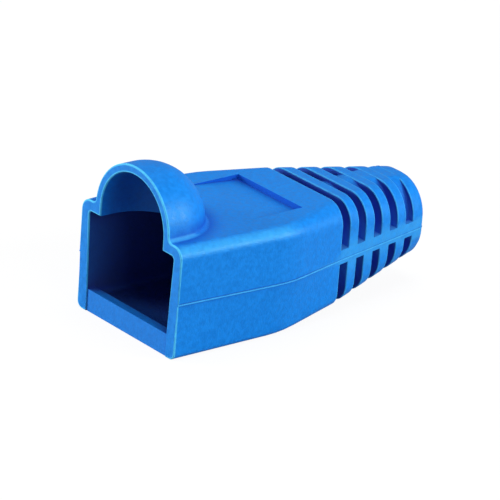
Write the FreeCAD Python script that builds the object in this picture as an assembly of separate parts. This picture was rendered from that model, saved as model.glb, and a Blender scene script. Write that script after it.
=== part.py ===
import FreeCAD, Part
import math
import os
from FreeCAD import Vector

# Strain relief boot for an 8-way modular data plug, one piece of flexible PVC.
# The housing slips over the back of the plug and its arched hood covers the plug's latch.
# Behind the housing the boot narrows to a round tail, cut into ribs so that it can bend
# with the cable. It is moulded in two halves round a core pin, and the halves part on a
# level plane at mid height.
#
# All sizes are in millimetres. Stations along the boot are measured from the mouth, along +X.
# Z is measured up from the flat underside. The boot is the same on both sides of Y = 0.

# Overall
overall_length = 30.75
parting_height = 5.20
parting_step = 0.05          # the lower mould half is this much narrower on each side
flash_height = 0.12          # fine ridge of flash that the moulds leave along the parting line
flash_proud = 0.05

# Plug pocket
plug_width = 11.68
plug_clearance = 0.13        # each side of the plug, at the roof
pocket_height = 8.00
pocket_depth = 12.0
pocket_lean = 0.28           # each side wall closes in by this much from roof to floor
pocket_corner_radius = 0.35

# Housing
side_wall = 1.06
roof_wall = 1.00
floor_wall = 1.33
housing_length = 11.93
housing_flare = 0.77         # the soft mouth is drawn in by this much on each side, at the roof
housing_base_flare = 0.15    # and by this much at the base
roof_edge_radius = 1.10
base_edge_radius = 0.65
side_lean = 0.08             # the upper side walls open out by this much from parting to roof
shoulder_blend = 1.6         # flare and taper run into each other over this much on each side

# Retaining lip across the floor of the mouth
lip_height = 0.71
lip_length = 0.85
lip_setback = 0.13

# Hood over the latch
hood_radius = 5.14
hood_level = 1.49            # the hood runs level for this far, then closes in a quarter sphere
hood_wall = 0.75
hood_foot_radius = 0.45

# Thumb recess in the roof, a shallow ramp that is deepest at its back wall
recess_width = 8.94
recess_start = 9.4
recess_end = 15.31
recess_depth = 0.45
recess_wall_slope = 0.12

# Waist, where the housing's taper meets the first slot
waist_width = 12.20
waist_base_rise = 0.57
waist_roof_radius = 2.02
waist_base_radius = 1.46

# Tail and cable bore
bore_diameter = 5.6
bore_height = 5.78
bore_length = 5.8            # straight stretch of the bore at the cable end
end_wall_side = 0.88
end_wall_top = 0.93
end_wall_base = 1.16
end_edge_radius = 0.94
bore_edge_chamfer = 0.3

# Inside of the waist, where the pocket funnels down to the bore
waist_wall_side = 1.75
waist_wall_top = 1.15
waist_wall_base = 1.45

# Slots
slot_count = 5
slot_width = 1.06
rib_width = 1.21
end_collar = 1.81            # solid ring behind the last slot
spine_above_parting = 0.93
spine_below_parting = 0.39

# Worked out from the sizes above
pocket_half_width = plug_width / 2 + plug_clearance
body_half_width = pocket_half_width + side_wall
pocket_roof = floor_wall + pocket_height
body_height = pocket_roof + roof_wall
slot_pitch = slot_width + rib_width
slot_start = overall_length - end_collar - slot_count * slot_width - (slot_count - 1) * rib_width
bore_radius = bore_diameter / 2
end_half_width = bore_radius + end_wall_side
end_top = bore_height + bore_radius + end_wall_top
end_base = bore_height - bore_radius - end_wall_base
bore_start = overall_length - bore_length
least_flat = 0.12            # straight stretch left between two rounds of an outline
pin_end_flat = 0.003         # the same for the last outline of the core pin, which is round
nose_steps = 4               # straight flanks that make up the rounded end
shoulder_steps = 3           # and the rounded shoulder
level_within = 1e-6          # lines whose ends differ by less than this count as level
overshoot = 1.0              # cutting shapes run past the faces that they cut


def rounded_half(x, half_width, lean, edge_height, radius):
    """Half of the boot's outline at station x, from the parting plane to its top or its base."""
    toward = 1 if edge_height > parting_height else -1
    edge_half = half_width + lean
    bend = radius * (1 - math.sqrt(0.5))
    side = edge_height - toward * radius
    points = [
        Vector(x, -half_width, parting_height),
        Vector(x, -edge_half, side),
        Vector(x, -edge_half + bend, edge_height - toward * bend),
        Vector(x, -edge_half + radius, edge_height),
        Vector(x, edge_half - radius, edge_height),
        Vector(x, edge_half - bend, edge_height - toward * bend),
        Vector(x, edge_half, side),
        Vector(x, half_width, parting_height),
    ]
    edges = [
        Part.LineSegment(points[0], points[1]).toShape(),
        Part.Arc(points[1], points[2], points[3]).toShape(),
        Part.LineSegment(points[3], points[4]).toShape(),
        Part.Arc(points[4], points[5], points[6]).toShape(),
        Part.LineSegment(points[6], points[7]).toShape(),
        Part.LineSegment(points[7], points[0]).toShape(),
    ]
    return Part.Wire(edges)


def rounded_section(x, half_width, foot_half_width, low, high, radius):
    """Rounded four-sided outline at station x, for the core pin that forms the inside."""
    bend = radius * (1 - math.sqrt(0.5))
    corners = [
        (-half_width, high, 1, -1),
        (half_width, high, -1, -1),
        (foot_half_width, low, -1, 1),
        (-foot_half_width, low, 1, 1),
    ]
    arcs = []
    for number, (y, z, inward_y, inward_z) in enumerate(corners):
        upright_end = Vector(x, y, z + inward_z * radius)
        middle = Vector(x, y + inward_y * bend, z + inward_z * bend)
        level_end = Vector(x, y + inward_y * radius, z)
        if number % 2 == 0:
            arcs.append((upright_end, middle, level_end))
        else:
            arcs.append((level_end, middle, upright_end))
    edges = []
    for number, (start, middle, end) in enumerate(arcs):
        following_start = arcs[(number + 1) % 4][0]
        edges.append(Part.Arc(start, middle, end).toShape())
        edges.append(Part.LineSegment(end, following_start).toShape())
    return Part.Wire(edges)


def is_level_line(edge):
    """Whether an edge of a section is straight and level."""
    start, end = edge.Vertexes[0].Point, edge.Vertexes[-1].Point
    return edge.Curve.TypeId == "Part::GeomLine" and abs(start.z - end.z) < level_within


def flank(first, second):
    """Face between matching edges of two sections: flat where both are level lines."""
    if is_level_line(first) and is_level_line(second):
        start, end = first.Vertexes[0].Point, first.Vertexes[-1].Point
        far_start, far_end = second.Vertexes[0].Point, second.Vertexes[-1].Point
        return Part.Face(Part.makePolygon([start, end, far_end, far_start, start]))
    return Part.makeRuledSurface(first, second)


def skin_between(sections):
    """Solid with straight flanks between each section and the next, closed at both ends."""
    faces = [Part.Face(sections[0]), Part.Face(sections[-1])]
    for first, second in zip(sections, sections[1:]):
        faces += [flank(*pair) for pair in zip(first.Edges, second.Edges)]
    skin = Part.makeCompound(faces)
    skin.sewShape()
    return Part.makeSolid(skin.Shells[0])


def with_rounded_shoulder(stations):
    """The stations, with the second one replaced by the steps of a parabola that rounds it."""
    mouth, corner, waist = stations[:3]
    before = shoulder_blend / (corner[0] - mouth[0])
    after = shoulder_blend / (waist[0] - corner[0])
    steps = []
    for step in range(shoulder_steps + 1):
        along = step / shoulder_steps
        steps.append(tuple(
            at_corner + (1 - along) ** 2 * before * (at_mouth - at_corner)
            + along ** 2 * after * (at_waist - at_corner)
            for at_mouth, at_corner, at_waist in zip(mouth, corner, waist)
        ))
    return stations[:1] + steps + stations[2:]


def with_rounded_end(stations):
    """The stations, with the last one replaced by the steps of a rounded cable end."""
    waist, end = stations[-2:]
    nose_start = overall_length - end_edge_radius
    along = (nose_start - slot_start) / (overall_length - slot_start)
    half_width, lean, edge, radius = [
        at_waist + (at_end - at_waist) * along for at_waist, at_end in zip(waist[1:], end[1:])
    ]
    inward = -1 if edge > parting_height else 1
    steps = []
    for step in range(nose_steps + 1):
        angle = math.pi / 2 * step / nose_steps
        inset = end_edge_radius * (1 - math.cos(angle))
        x = nose_start + end_edge_radius * math.sin(angle)
        steps.append((x, half_width - inset, lean, edge + inward * inset, radius - inset))
    return stations[:-1] + steps


def flash_line(stations):
    """Thin ridge that stands proud of the sides all round the parting plane."""
    near = [Vector(x, -half_width - flash_proud, parting_height - flash_height / 2)
            for x, half_width, lean, edge, radius in stations]
    far = [Vector(point.x, -point.y, point.z) for point in reversed(near)]
    plan = Part.makePolygon(near + far + near[:1])
    return Part.Face(plan).extrude(Vector(0, 0, flash_height))


def outer_body():
    """Housing, tapered shoulder and tail, as two mould halves joined on the parting plane."""
    waist_half = waist_width / 2
    upper_half = body_half_width - side_lean
    lower_half = upper_half - parting_step
    top_radius = min(end_half_width, end_top - parting_height) - least_flat
    base_radius = min(end_half_width, parting_height - end_base) - least_flat
    flared_base = housing_base_flare - housing_flare
    upper = with_rounded_end(with_rounded_shoulder([
        (0, upper_half, side_lean, body_height, roof_edge_radius),
        (housing_length, upper_half + housing_flare, side_lean, body_height, roof_edge_radius),
        (slot_start, waist_half, 0, body_height, waist_roof_radius),
        (overall_length, end_half_width, 0, end_top, top_radius),
    ]))
    lower = with_rounded_end(with_rounded_shoulder([
        (0, lower_half, 0, 0, base_edge_radius),
        (housing_length, lower_half + housing_flare, flared_base, 0, base_edge_radius),
        (slot_start, waist_half, 0, waist_base_rise, waist_base_radius),
        (overall_length, end_half_width, 0, end_base, base_radius),
    ]))
    halves = [skin_between([rounded_half(*station) for station in half])
              for half in (upper, lower)]
    body = halves[0].multiFuse([halves[1], flash_line(upper)])
    return body.removeSplitter()


def hood_outline(radius, foot, flare):
    """Half of the hood's outline across the boot: round crown, flared foot and upright leg."""
    def at(y, z):
        return Vector(hood_level, y, body_height + z)

    reach = math.sqrt(radius ** 2 + 2 * radius * flare)
    foot_angle = math.atan2(flare, reach)
    half_angle = (math.pi / 2 + foot_angle) / 2
    touch = at(radius * math.cos(foot_angle), radius * math.sin(foot_angle))
    crown = Part.Arc(at(0, radius), at(radius * math.cos(half_angle), radius * math.sin(half_angle)),
                     touch)
    edges = [crown.toShape()]
    if flare:
        middle = at(reach - flare * math.cos(half_angle), flare - flare * math.sin(half_angle))
        edges.append(Part.Arc(touch, middle, at(reach, 0)).toShape())
    corners = [at(reach, 0), at(reach, foot - body_height), at(0, foot - body_height),
               at(0, radius)]
    for start, end in zip(corners, corners[1:]):
        edges.append(Part.LineSegment(start, end).toShape())
    return Part.Face(Part.Wire(edges))


def hood_solid(radius, foot, flare):
    """Hood over the latch: level for a stretch, then closed by a quarter sphere."""
    near = hood_outline(radius, foot, flare)
    turn = Vector(hood_level, 0, 0)
    end = near.revolve(turn, Vector(0, 0, -1), 180)
    stretch = near.extrude(Vector(-hood_level, 0, 0))
    return end.multiFuse([stretch, stretch.mirror(turn, Vector(0, 1, 0))])


def core_pin():
    """Inside of the boot: plug pocket, funnel and round cable bore."""
    floor_half = pocket_half_width - pocket_lean
    pocket = skin_between([
        rounded_section(-overshoot, pocket_half_width, floor_half, floor_wall, pocket_roof,
                        pocket_corner_radius),
        rounded_section(pocket_depth, pocket_half_width, floor_half, floor_wall, pocket_roof,
                        pocket_corner_radius),
        rounded_section(slot_start, waist_width / 2 - waist_wall_side,
                        waist_width / 2 - waist_wall_side, waist_base_rise + waist_wall_base,
                        body_height - waist_wall_top, bore_radius),
        rounded_section(bore_start, bore_radius, bore_radius, bore_height - bore_radius,
                        bore_height + bore_radius, bore_radius - pin_end_flat),
    ])
    bore = Part.makeCylinder(bore_radius, bore_length + 2 * overshoot,
                             Vector(bore_start - overshoot, 0, bore_height), Vector(1, 0, 0))
    flare = Part.makeCone(bore_radius, bore_radius + bore_edge_chamfer, bore_edge_chamfer,
                          Vector(overall_length - bore_edge_chamfer, 0, bore_height),
                          Vector(1, 0, 0))
    return pocket.multiFuse([bore, flare])


def level_box(x_low, x_high, half_width, z_low, z_high):
    """Box on the boot's middle plane, given by its ends."""
    return Part.makeBox(x_high - x_low, 2 * half_width, z_high - z_low,
                        Vector(x_low, -half_width, z_low))


def thumb_recess():
    """Wedge taken out of the roof behind the hood."""
    above = body_height + overshoot
    floor = body_height - recess_depth
    outline = Part.makePolygon([
        Vector(recess_start, -recess_width / 2, body_height),
        Vector(recess_end - recess_wall_slope, -recess_width / 2, floor),
        Vector(recess_end, -recess_width / 2, body_height),
        Vector(recess_end, -recess_width / 2, above),
        Vector(recess_start, -recess_width / 2, above),
        Vector(recess_start, -recess_width / 2, body_height),
    ])
    return Part.Face(outline).extrude(Vector(0, recess_width, 0))


def slot_blades():
    """Blades of the two mould halves, one above and one below the side spines."""
    reach = body_half_width + overshoot
    blades = []
    for number in range(slot_count):
        low = slot_start + number * slot_pitch
        high = low + slot_width
        blades.append(level_box(low, high, reach, parting_height + spine_above_parting,
                                body_height + overshoot))
        blades.append(level_box(low, high, reach, -overshoot,
                                parting_height - spine_below_parting))
    return blades


def lip():
    """Low bar across the floor of the mouth that keeps the boot on the plug."""
    foot_half = pocket_half_width - pocket_lean + side_wall / 2
    return level_box(lip_setback, lip_setback + lip_length, foot_half, floor_wall / 2,
                     floor_wall + lip_height)


def lip_relief():
    """Shallow cut that sets the lip's face back from the mouth, between the side walls."""
    lean_at_lip = pocket_lean * (1 - lip_height / pocket_height)
    return level_box(-overshoot, lip_setback, pocket_half_width - lean_at_lip, -overshoot,
                     floor_wall + lip_height)


boot = outer_body()
boot = boot.fuse(hood_solid(hood_radius, pocket_roof, hood_foot_radius))
boot = boot.removeSplitter().cut(thumb_recess())
boot = boot.cut(hood_solid(hood_radius - hood_wall, pocket_roof - overshoot, 0))
boot = boot.cut(core_pin())
boot = boot.fuse(lip()).cut(lip_relief())
for blade in slot_blades():
    boot = boot.cut(blade)
boot.translate(Vector(-overall_length / 2, 0, 0))

os.makedirs("parts", exist_ok=True)
boot.Solids[0].exportStep("parts/boot.step")
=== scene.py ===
import bmesh
import bpy
import math
from mathutils import Matrix, Vector


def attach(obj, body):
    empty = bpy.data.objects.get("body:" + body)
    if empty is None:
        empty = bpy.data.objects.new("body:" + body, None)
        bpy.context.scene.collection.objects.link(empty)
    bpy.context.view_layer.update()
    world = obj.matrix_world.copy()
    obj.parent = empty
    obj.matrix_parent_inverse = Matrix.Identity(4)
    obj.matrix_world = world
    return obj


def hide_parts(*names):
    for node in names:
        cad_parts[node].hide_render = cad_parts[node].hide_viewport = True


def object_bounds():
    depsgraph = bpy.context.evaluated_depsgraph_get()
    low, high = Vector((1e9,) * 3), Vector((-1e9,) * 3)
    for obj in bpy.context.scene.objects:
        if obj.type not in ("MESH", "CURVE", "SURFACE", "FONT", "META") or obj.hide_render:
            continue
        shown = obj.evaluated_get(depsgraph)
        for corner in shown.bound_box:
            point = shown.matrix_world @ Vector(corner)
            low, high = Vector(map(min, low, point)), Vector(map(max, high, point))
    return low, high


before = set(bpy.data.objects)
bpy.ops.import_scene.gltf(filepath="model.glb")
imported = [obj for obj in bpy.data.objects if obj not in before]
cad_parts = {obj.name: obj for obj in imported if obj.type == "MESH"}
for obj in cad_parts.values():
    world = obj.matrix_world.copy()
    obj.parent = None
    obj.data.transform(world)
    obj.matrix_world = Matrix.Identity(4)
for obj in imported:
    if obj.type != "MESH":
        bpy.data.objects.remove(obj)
cad_low, cad_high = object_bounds()


# Camera. A long lens looks down on the boot from the mouth end, a little to one side,
# and leans slightly so that the boot climbs to the right.
def look_at(name, aim, azimuth, elevation, roll, distance):
    """Camera turned to the aim point, from this distance and these angles in degrees."""
    turn, rise, lean = math.radians(azimuth), math.radians(elevation), math.radians(roll)
    back = Vector((math.sin(turn) * math.cos(rise), -math.cos(turn) * math.cos(rise),
                   math.sin(rise)))
    level = Vector((math.cos(turn), math.sin(turn), 0))
    upright = back.cross(level)
    right = level * math.cos(lean) + upright * math.sin(lean)
    up = upright * math.cos(lean) - level * math.sin(lean)
    place = Matrix((right, up, back)).transposed().to_4x4()
    place.translation = aim + back * distance
    camera = bpy.data.objects.new(name, bpy.data.cameras.new(name))
    camera.matrix_world = place
    bpy.context.scene.collection.objects.link(camera)
    return camera


camera = look_at("camera", aim=Vector((-0.0013, 0, 0.005)), azimuth=-40.64,
                 elevation=22.31, roll=4.42, distance=0.3539)
camera.data.lens = 289.4
camera.data.sensor_width = 36
camera.data.shift_x = -0.0098
camera.data.shift_y = -0.0015
bpy.context.scene.camera = camera
bpy.context.scene.view_settings.view_transform = "Standard"

# Studio. A white table in a dim room. A soft box stands low by the near side of the cable
# end, a larger one faces the near side, one hangs overhead, and one shines low across the
# mouth from the far corner.
box_distance = 0.40
boot_middle = Vector((0, 0, 0.007))


def soft_box(name, towards, width, height, watts):
    """Rectangular lamp that shines at the boot from that direction."""
    lamp = bpy.data.lights.new(name, "AREA")
    lamp.shape = "RECTANGLE"
    lamp.size, lamp.size_y, lamp.energy = width, height, watts
    holder = bpy.data.objects.new(name, lamp)
    direction = Vector(towards).normalized()
    holder.location = direction * box_distance + boot_middle
    holder.rotation_euler = direction.to_track_quat("Z", "Y").to_euler()
    bpy.context.scene.collection.objects.link(holder)


soft_box("soft_box_near_side", (0.64, -0.72, 0.31), width=0.14, height=0.10, watts=0.98)
soft_box("soft_box_front_side", (-0.05, -0.88, 0.45), width=0.30, height=0.20, watts=0.68)
soft_box("soft_box_overhead", (0.0, 0.10, 1.0), width=0.30, height=0.30, watts=0.86)
soft_box("soft_box_far_corner", (-0.68, 0.72, 0.12), width=0.20, height=0.14, watts=1.87)

wall_light, wall_shine, wall_seen = 0.09, 0.30, 1.0
table_half = 1.5
table_grey, table_shadow, table_glow = 0.35, 0.11, 0.91

world = bpy.data.worlds.new("white_walls")
bpy.context.scene.world = world
world.use_nodes = True
sky = world.node_tree
sky.nodes.clear()


def white(tree, kind, strength):
    """White shader of this strength, for a wall of the room or a surface that glows."""
    light = tree.nodes.new(kind)
    light.inputs["Color"].default_value = (1, 1, 1, 1)
    light.inputs["Strength"].default_value = strength
    return light.outputs[0]


def by_ray(tree, ray, others, these):
    """Shader that rays of this kind see as one thing and all the others as another."""
    path = tree.nodes.new("ShaderNodeLightPath")
    mix = tree.nodes.new("ShaderNodeMixShader")
    tree.links.new(path.outputs[ray], mix.inputs["Fac"])
    tree.links.new(others, mix.inputs[1])
    tree.links.new(these, mix.inputs[2])
    return mix.outputs["Shader"]


def dull(tree, grey):
    """Grey shader with no shine."""
    diffuse = tree.nodes.new("ShaderNodeBsdfDiffuse")
    diffuse.inputs["Color"].default_value = (grey, grey, grey, 1)
    return diffuse.outputs["BSDF"]


walls = by_ray(sky, "Is Glossy Ray", white(sky, "ShaderNodeBackground", wall_light),
               white(sky, "ShaderNodeBackground", wall_shine))
walls = by_ray(sky, "Is Camera Ray", walls, white(sky, "ShaderNodeBackground", wall_seen))
sky.links.new(walls, sky.nodes.new("ShaderNodeOutputWorld").inputs["Surface"])

table_mesh = bpy.data.meshes.new("table")
table_mesh.from_pydata([(-table_half, -table_half, 0), (table_half, -table_half, 0),
                        (table_half, table_half, 0), (-table_half, table_half, 0)],
                       [], [(0, 1, 2, 3)])
table = bpy.data.objects.new("table", table_mesh)
bpy.context.scene.collection.objects.link(table)
table_finish = bpy.data.materials.new("white_table")
table_finish.use_nodes = True
coat = table_finish.node_tree
coat.nodes.clear()
as_seen = coat.nodes.new("ShaderNodeAddShader")
coat.links.new(dull(coat, table_shadow), as_seen.inputs[0])
coat.links.new(white(coat, "ShaderNodeEmission", table_glow), as_seen.inputs[1])
tabletop = by_ray(coat, "Is Camera Ray", dull(coat, table_grey), as_seen.outputs[0])
coat.links.new(tabletop, coat.nodes.new("ShaderNodeOutputMaterial").inputs["Surface"])
table_mesh.materials.append(table_finish)

# Boot. One piece of flexible PVC, moulded in two halves round a core pin, with slots that
# stop at a thin sleeve. The spark-eroded moulds give it a fine grain and rounded edges. Its
# edges and the ridge on the parting line are painted a lighter blue, partly wear from
# handling and partly painted highlight, and its creases, inside, recess walls and lip face
# are painted darker as painted shade.
mm = 0.001
hair = 0.01 * mm
merge_distance = 0.0002 * mm
sharp_angle, flat_angle = math.radians(30), math.radians(0.4)

# How level, square or steep a face has to be, by its normal.
dead_level, square_on, steep = 0.999, 0.9, 0.5

# Where its features lie.
mouth_x = cad_low[0]
roof_height = 10.33 * mm
parting_height, flash_reach = 5.2 * mm, 0.1 * mm
pocket_end_x = mouth_x + 12.0 * mm
pocket_walls = (5.3 * mm, 6.0 * mm)
lip_half, lip_top, lip_edge_top = 5.8 * mm, 2.1 * mm, 2.2 * mm
lip_face_depth, lip_end_depth = (0.05 * mm, 0.2 * mm), 0.14 * mm
recess_x = (-6.0 * mm, -0.02 * mm)
recess_half, recess_wall_height = 4.47 * mm, 0.5 * mm
roof_edge_out, roof_edge_up = 5.0 * mm, 8.0 * mm
roof_edge_end, roof_edge_fade = -2.4 * mm, 2.0 * mm
slots_x, slots_centre = (3.4 * mm, 14.0 * mm), 5.8 * mm
slots_reach = 3.3 * mm
spine_half, spine_reach = 1.0 * mm, 3.4 * mm

# How far its edges are rounded, how much each place is rubbed and given a painted
# highlight, and how much painted shade each place gets.
slot_rounding, slot_fullness = 0.12 * mm, 0.75
rim_rounding, rim_fullness = 0.15 * mm, 0.88
rounding_steps = 3
rim_rub_and_highlight, slot_rub_and_highlight, border_rub_and_highlight = 1.0, 0.5, 0.6
roof_edge_highlight, spine_rub_and_highlight, flash_rub_and_highlight, lip_end_light = 0.35, 0.25, 0.55, 0.8
recess_shade, lip_shade, pocket_shade = 1.0, 0.22, 1.0

# The sleeve, and what it fits between. A pair is a size at two ends: the sleeve's own, the
# tail's for its top and base, and the funnel's for the rest.
sleeve_x = (3.225 * mm, 13.825 * mm)
sleeve_top = (9.55 * mm, 9.97 * mm)
sleeve_half, sleeve_wall, sleeve_overlap = 3.55 * mm, 0.12 * mm, 0.06 * mm
sleeve_rings, sleeve_sides = 24, 96
tail_start, tail_length, funnel_length = 3.425 * mm, 11.95 * mm, 6.15 * mm
tail_top, tail_base = (10.33 * mm, 9.51 * mm), (0.57 * mm, 1.82 * mm)
funnel_centre = (5.60 * mm, 5.78 * mm)
funnel_half, funnel_rise = (4.35 * mm, 2.80 * mm), (3.58 * mm, 2.80 * mm)
funnel_squareness = (3, 2)

boot_skin = bmesh.new()
boot_skin.from_mesh(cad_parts["boot"].data)
bmesh.ops.remove_doubles(boot_skin, verts=boot_skin.verts, dist=merge_distance)
bmesh.ops.dissolve_limit(boot_skin, angle_limit=flat_angle, verts=boot_skin.verts,
                         edges=boot_skin.edges)
# Layer for the finish: how far handling has rubbed the skin, together with the painted
# highlight that lightens edges where light would catch them.
rubbed_and_highlit = boot_skin.loops.layers.float.new("rubbed_and_highlit")


def round_edges(skin, radius, fullness, rub_and_highlight, belongs):
    """Round off the sharp edges that belongs(middle, one normal, other normal) picks."""
    chosen = []
    for edge in skin.edges:
        if edge.is_manifold and edge.calc_face_angle() > sharp_angle:
            middle = (edge.verts[0].co + edge.verts[1].co) / 2
            normals = [face.normal for face in edge.link_faces]
            if belongs(middle, *normals):
                chosen.append(edge)
    rounded = bmesh.ops.bevel(skin, geom=chosen, offset=radius, offset_type="OFFSET",
                              affect="EDGES", segments=rounding_steps, profile=fullness,
                              clamp_overlap=False, miter_outer="SHARP",
                              miter_inner="SHARP")
    # The rounded faces are painted lighter: wear, and a painted highlight along the edge.
    made = set(rounded["faces"])
    for face in made:
        for corner in face.loops:
            inside = all(other in made for other in corner.vert.link_faces)
            corner[rubbed_and_highlit] = rub_and_highlight if inside else border_rub_and_highlight * rub_and_highlight


def on_slot(middle, one, other):
    """Edge between a slot's walls and the outside of the tail."""
    along_tail = slots_x[0] < middle.x < slots_x[1]
    spoke = Vector((0, middle.y, middle.z - slots_centre))
    outside = max(one.dot(spoke), other.dot(spoke)) > spoke.length / 2
    level = max(abs(one.z), abs(other.z)) > dead_level
    at_spine = level and abs(middle.z - parting_height) < spine_half
    return along_tail and outside and spoke.length > slots_reach and not at_spine


def on_rim(middle, one, other):
    """Edge of the mouth's flat rim, inside or outside, but not on the flash or the lip."""
    off_flash = abs(middle.z - parting_height) > flash_reach
    in_lip = abs(middle.y) < lip_half and middle.z < lip_edge_top
    return middle.x < mouth_x + hair and off_flash and not in_lip


def between(ends, share):
    """Size this share of the way from the first end to the second."""
    return ends[0] + (ends[1] - ends[0]) * share


def clamped(value, low=0, high=1):
    """The value, or the limit that it has passed."""
    return min(high, max(low, value))


def add_sleeve(skin):
    """Thin tube inside the tail that the slots stop at. Its inside follows the funnel and the
    bore, and its oval outside is cut level just inside the tail's top and base."""
    rings = []
    for number in range(sleeve_rings):
        x = between(sleeve_x, number / (sleeve_rings - 1))
        to_bore = clamped((x - tail_start) / funnel_length)
        centre = between(funnel_centre, to_bore)
        bore_half = between(funnel_half, to_bore) + sleeve_overlap
        bore_rise = between(funnel_rise, to_bore) + sleeve_overlap
        squareness = between(funnel_squareness, to_bore)
        oval_rise = between(sleeve_top, to_bore) - centre
        down_tail = (x - tail_start) / tail_length
        base = between(tail_base, down_tail) + hair
        top = between(tail_top, down_tail) - hair
        inner, outer = [], []
        for side in range(sleeve_sides):
            angle = 2 * math.pi * side / sleeve_sides
            level, rise = math.cos(angle), math.sin(angle)
            bore = (abs(level / bore_half) ** squareness
                    + abs(rise / bore_rise) ** squareness) ** (-1 / squareness)
            oval = 1 / math.hypot(level / sleeve_half, rise / oval_rise)
            reach = max(bore + sleeve_wall, oval)
            height = clamped(centre + reach * rise, base, top)
            inner.append(skin.verts.new((x, bore * level, centre + bore * rise)))
            outer.append(skin.verts.new((x, reach * level, height)))
        rings.append((inner, outer))
    for side in range(sleeve_sides):
        other = (side + 1) % sleeve_sides
        for (inner, outer), (next_inner, next_outer) in zip(rings, rings[1:]):
            skin.faces.new((outer[side], outer[other], next_outer[other], next_outer[side]))
            skin.faces.new((inner[other], inner[side], next_inner[side], next_inner[other]))
        inner, outer = rings[0]
        skin.faces.new((inner[side], inner[other], outer[other], outer[side]))
        inner, outer = rings[-1]
        skin.faces.new((outer[side], outer[other], inner[other], inner[side]))


def paint(face, layer, amount):
    """Give a layer this amount all over a face."""
    for corner in face.loops:
        corner[layer] = amount


round_edges(boot_skin, slot_rounding, slot_fullness, slot_rub_and_highlight, on_slot)
round_edges(boot_skin, rim_rounding, rim_fullness, rim_rub_and_highlight, on_rim)
for vert in boot_skin.verts:
    from_parting = vert.co.z - parting_height
    on_roof_edge = abs(vert.co.y) > roof_edge_out and vert.co.z > roof_edge_up
    on_spine = (vert.co.x > tail_start and abs(from_parting) < spine_half
                and math.hypot(vert.co.y, from_parting) > spine_reach)
    rub_and_highlight = 0
    # Painted highlight: the roof edge is painted lighter where its rounding faces half out
    # and half up, fading out before the taper.
    if on_roof_edge:
        highlight_facing = (2 * abs(vert.normal.y) * max(0, vert.normal.z)) ** 2
        rub_and_highlight = roof_edge_highlight * highlight_facing * clamped((roof_edge_end - vert.co.x) / roof_edge_fade)
    elif on_spine:
        rub_and_highlight = spine_rub_and_highlight
    for corner in vert.link_loops:
        corner[rubbed_and_highlit] = max(corner[rubbed_and_highlit], rub_and_highlight)
add_sleeve(boot_skin)
boot_skin.normal_update()

# Layers of painted shade: where light hardly gets in, and the pocket's side walls.
painted_shade = boot_skin.loops.layers.float.new("painted_shade")
pocket_wall_shade = boot_skin.loops.layers.float.new("pocket_wall_shade")
for face in boot_skin.faces:
    # The flash on the parting line is painted lighter: wear, and a painted highlight.
    if all(abs(vert.co.z - parting_height) < flash_reach for vert in face.verts):
        paint(face, rubbed_and_highlit, flash_rub_and_highlight)
    middle = face.calc_center_median()
    out, depth = abs(middle.y), middle.x - mouth_x
    in_recess = (recess_x[0] < middle.x < recess_x[1] and out < recess_half + hair
                 and roof_height - recess_wall_height < middle.z < roof_height)
    # Painted shade on the recess walls and the lip face.
    if in_recess and abs(face.normal.z) < steep:
        paint(face, painted_shade, recess_shade)
    in_lip = lip_face_depth[0] < depth < lip_face_depth[1]
    if in_lip and out < lip_half and middle.z < lip_top and face.normal.x < -square_on:
        paint(face, painted_shade, lip_shade)
    faces_inward = middle.y * face.normal.y < 0 and abs(face.normal.y) > square_on
    in_wall = pocket_walls[0] < out < pocket_walls[1] and middle.x < pocket_end_x
    if faces_inward and in_wall:
        # Painted light: the short walls at the ends of the lip are painted lighter where they
        # lie in shade.
        if depth < lip_end_depth:
            paint(face, rubbed_and_highlit, lip_end_light)
        # Painted shade on the pocket's side walls.
        elif middle.z > lip_top:
            paint(face, pocket_wall_shade, pocket_shade)
    face.smooth = True
for edge in boot_skin.edges:
    edge.smooth = not (edge.is_manifold and edge.calc_face_angle() > sharp_angle)
mesh = bpy.data.meshes.new("boot_skin")
boot_skin.to_mesh(mesh)
boot_skin.free()
boot = bpy.data.objects.new("boot_skin", mesh)
bpy.context.scene.collection.objects.link(boot)

# Its blues: the skin's mottle; painted shade for creases, the open inside, narrow gaps and
# the recess; and the rubbed edges, which also carry a painted highlight. Then the sizes of
# the mottle, the worn patches and the grain, and how far off a part of the boot may be and
# still shade a place.
mottle_blues = (0.0025, 0.195, 0.70, 1), (0.004, 0.240, 0.82, 1)
crease_shade_blue = (0.002, 0.065, 0.48, 1)
inside_shade_blue, gap_shade_blue = (0.022, 0.042, 0.210, 1), (0.020, 0.070, 0.56, 1)
recess_shade_blue = (0.003, 0.09, 0.55, 1)
rubbed_and_highlit_blue = (0.09, 0.60, 1.0, 1)
mottle_size, patch_size = 0.4 * mm, 0.7 * mm
grain_size, grain_height = 0.18 * mm, 0.025 * mm
inside_reach, crease_reach, corner_reach = 15 * mm, 2 * mm, 0.5 * mm

# A band is the range over which a look sets in. The pair beside it is what the look goes
# from and to, where that isn't 0 and 1.
mottle_band = (0.35, 0.65)
crease_band, gap_band = (0.65, 1.0), (0.20, 0.70)
inside_band, pocket_light = (0.28, 0.58), (1, 0.25)
corner_band, corner_light = (0.50, 0.95), (0.65, 1)
patch_band, patch_rub_and_highlight = (0.3, 0.6), (0.7, 1.0)
gloss_band, crease_gloss = (0.50, 0.95), (0.25, 1)
speckle_band, speckle_gloss = (0.3, 0.7), (0.64, 0.48)

pvc = bpy.data.materials.new("blue_pvc")
pvc.use_nodes = True
nodes, links = pvc.node_tree.nodes, pvc.node_tree.links
shader = nodes["Principled BSDF"]
shader.inputs["Specular IOR Level"].default_value = 0.4
shader.inputs["Specular Tint"].default_value = (0.40, 0.95, 1.0, 1)
place = nodes.new("ShaderNodeTexCoord")


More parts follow.
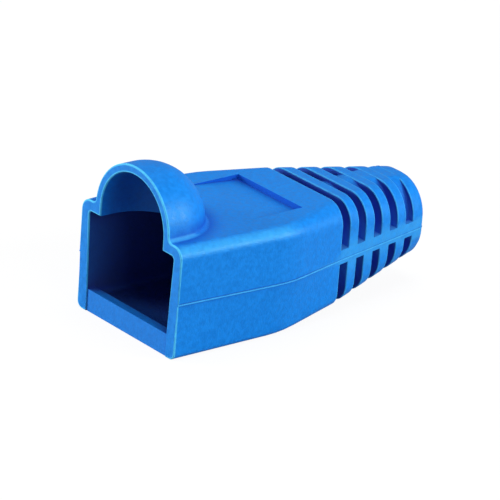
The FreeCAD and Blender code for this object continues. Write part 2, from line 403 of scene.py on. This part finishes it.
def grain(size, detail):
    """Noise in the object's own space whose features are about this large."""
    noise = nodes.new("ShaderNodeTexNoise")
    noise.inputs["Scale"].default_value = 1 / size
    noise.inputs["Detail"].default_value = detail
    links.new(place.outputs["Object"], noise.inputs["Vector"])
    return noise.outputs["Fac"]


def painted(layer):
    """Amount that this layer of the mesh was given."""
    attribute = nodes.new("ShaderNodeAttribute")
    attribute.attribute_name = layer
    return attribute.outputs["Fac"]


def openness(reach):
    """Share of the view from the surface that nothing on the boot within reach blocks."""
    occlusion = nodes.new("ShaderNodeAmbientOcclusion")
    occlusion.only_local = True
    occlusion.inputs["Distance"].default_value = reach
    return occlusion.outputs["AO"]


def scaled(value, before, after=(0, 1)):
    """The value carried from the range before to the range after, and held at its ends."""
    ramp = nodes.new("ShaderNodeMapRange")
    for name, number in zip(("From Min", "From Max", "To Min", "To Max"), before + after):
        ramp.inputs[name].default_value = number
    links.new(value, ramp.inputs["Value"])
    return ramp.outputs["Result"]


def opposite(value):
    """0 where the value is 1, and 1 where it is 0."""
    return scaled(value, (0, 1), (1, 0))


def product(first, second):
    """One value times another."""
    times = nodes.new("ShaderNodeMath")
    times.operation = "MULTIPLY"
    links.new(first, times.inputs[0])
    links.new(second, times.inputs[1])
    return times.outputs[0]


def mixed(share, first, second):
    """Colour between the first and the second, each a colour or another node's colour."""
    mix = nodes.new("ShaderNodeMix")
    mix.data_type = "RGBA"
    links.new(share, mix.inputs["Factor"])
    for colour, socket in ((first, mix.inputs["A"]), (second, mix.inputs["B"])):
        if isinstance(colour, tuple):
            socket.default_value = colour
        else:
            links.new(colour, socket)
    return mix.outputs["Result"]


# Painted shade: the base colour darkens in creases, narrow gaps, the open inside, the
# pocket's side walls, the recess walls and the lip face, by how much of the boot closes over
# each place.
nearby, inset = openness(crease_reach), painted("painted_shade")
mottle = mixed(scaled(grain(mottle_size, detail=4), mottle_band), *mottle_blues)
creased = mixed(scaled(nearby, crease_band), crease_shade_blue, mottle)
inside = mixed(scaled(nearby, gap_band), gap_shade_blue, inside_shade_blue)
exposed = product(scaled(openness(inside_reach), inside_band),
                  scaled(openness(corner_reach), corner_band, corner_light))
exposed = product(exposed, scaled(painted("pocket_wall_shade"), (0, 1), pocket_light))
shaded = mixed(inset, mixed(exposed, inside, creased), recess_shade_blue)
# Painted lighter blue on rubbed edges: wear, and a painted highlight, broken into patches.
patchy = product(painted("rubbed_and_highlit"),
                 scaled(grain(patch_size, detail=2), patch_band, patch_rub_and_highlight))
links.new(mixed(patchy, shaded, rubbed_and_highlit_blue), shader.inputs["Base Color"])

smoothness = product(scaled(nearby, gloss_band, crease_gloss), opposite(inset))
smoothness = product(smoothness,
                     scaled(grain(mottle_size, detail=2), speckle_band, speckle_gloss))
links.new(opposite(smoothness), shader.inputs["Roughness"])
relief = nodes.new("ShaderNodeBump")
relief.inputs["Strength"].default_value = 1.0
relief.inputs["Distance"].default_value = grain_height
links.new(grain(grain_size, detail=3), relief.inputs["Height"])
links.new(relief.outputs["Normal"], shader.inputs["Normal"])
mesh.materials.append(pvc)

even_shading = boot.modifiers.new("even_shading", "WEIGHTED_NORMAL")
even_shading.keep_sharp = True
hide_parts("boot")
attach(boot, "root")
